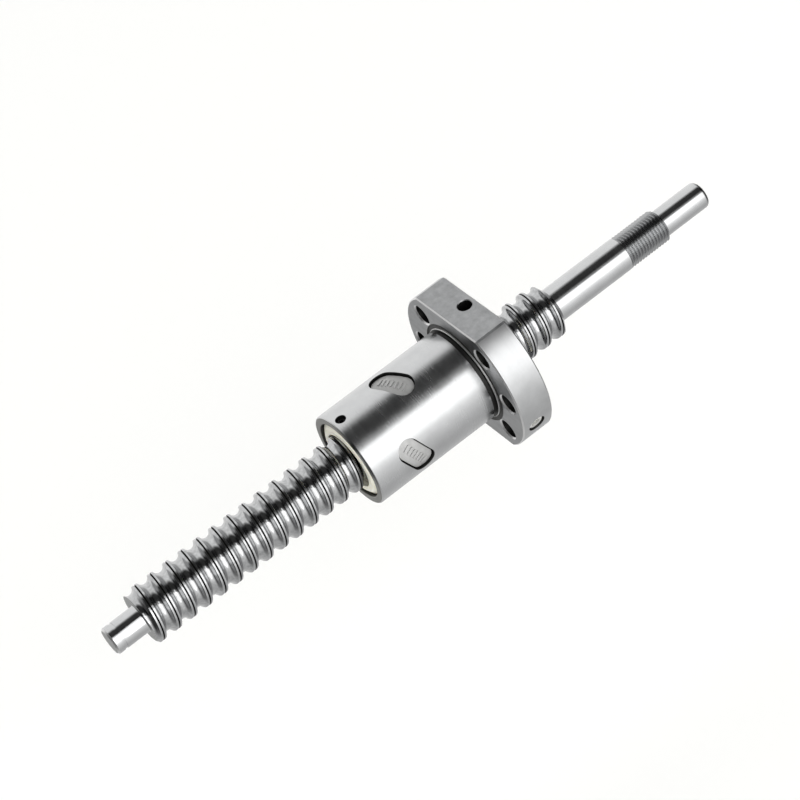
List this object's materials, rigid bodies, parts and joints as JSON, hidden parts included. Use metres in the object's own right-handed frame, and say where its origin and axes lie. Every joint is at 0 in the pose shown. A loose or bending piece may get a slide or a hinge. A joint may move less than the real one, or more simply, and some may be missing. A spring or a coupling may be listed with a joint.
{
  "type": "ball screw assembly",
  "caption": "Left-hand miniature ball screw with machined shaft ends and a two-flat flanged nut with inset ball deflectors, ivory wipers, a ring of bolt holes and a plugged oil port.",
  "frame": {"origin": "on the screw's axis, midway between its two end faces, which is where the shaft would be held by the bearings on its journals", "axes": "+X along the screw axis from the short support journal to the drive end; +Z out of the flange's flat that has the round hole; +Y completes a right-handed frame"},
  "size_m": [0.203, 0.048, 0.04],
  "materials": {
    "shaft_steel": "ground, bright",
    "nut_steel": "turned and ground, satin",
    "insert_steel": "sintered, matt",
    "ball_steel": "polished",
    "black_steel": "black oxide",
    "zinc_steel": "zinc, satin",
    "ivory_plastic": "satin moulded"
  },
  "bodies": {
    "screw": {"screw_shaft": "shaft_steel"},
    "ball_circuit": {"ball_train_4": "ball_steel"},
    "nut": {"nut_body": "nut_steel", "deflector_1": "insert_steel", "deflector_2": "insert_steel", "deflector_3": "insert_steel", "deflector_4": "insert_steel", "wiper_front": "ivory_plastic", "wiper_rear": "ivory_plastic", "wiper_screw_front": "black_steel", "wiper_screw_rear": "black_steel", "oil_port_plug": "zinc_steel", "ball_1_01": "ball_steel", "ball_1_02": "ball_steel", "ball_1_03": "ball_steel", "ball_1_04": "ball_steel", "ball_1_05": "ball_steel", "ball_1_06": "ball_steel", "ball_1_07": "ball_steel", "ball_1_08": "ball_steel", "ball_1_09": "ball_steel", "ball_1_10": "ball_steel", "ball_1_11": "ball_steel", "ball_1_12": "ball_steel", "ball_1_13": "ball_steel", "ball_1_14": "ball_steel", "ball_1_15": "ball_steel", "ball_1_16": "ball_steel", "ball_2_01": "ball_steel", "ball_2_02": "ball_steel", "ball_2_03": "ball_steel", "ball_2_04": "ball_steel", "ball_2_05": "ball_steel", "ball_2_06": "ball_steel", "ball_2_07": "ball_steel", "ball_2_08": "ball_steel", "ball_2_09": "ball_steel", "ball_2_10": "ball_steel", "ball_2_11": "ball_steel", "ball_2_12": "ball_steel", "ball_2_13": "ball_steel", "ball_2_14": "ball_steel", "ball_2_15": "ball_steel", "ball_2_16": "ball_steel", "ball_3_01": "ball_steel", "ball_3_02": "ball_steel", "ball_3_03": "ball_steel", "ball_3_04": "ball_steel", "ball_3_05": "ball_steel", "ball_3_06": "ball_steel", "ball_3_07": "ball_steel", "ball_3_08": "ball_steel", "ball_3_09": "ball_steel", "ball_3_10": "ball_steel", "ball_3_11": "ball_steel", "ball_3_12": "ball_steel", "ball_3_13": "ball_steel", "ball_3_14": "ball_steel", "ball_3_15": "ball_steel", "ball_3_16": "ball_steel"}
  },
  "joints": [
    {"name": "nut_travel", "type": "slide", "parent": "screw", "child": "ball_circuit", "axis": [1, 0, 0], "range_m": [-0.065, 0.02], "deforming": ["ball_train_4"]},
    {"name": "nut_spin", "type": "hinge", "parent": "ball_circuit", "child": "nut", "pos_m": [0, 0, 0], "axis": [1, 0, 0], "range_deg": [-1440, 4680]}
  ],
  "couplings": [
    {"joint": "nut_travel", "follows": "nut_spin", "m_per_rad": -0.00079577}
  ]
}
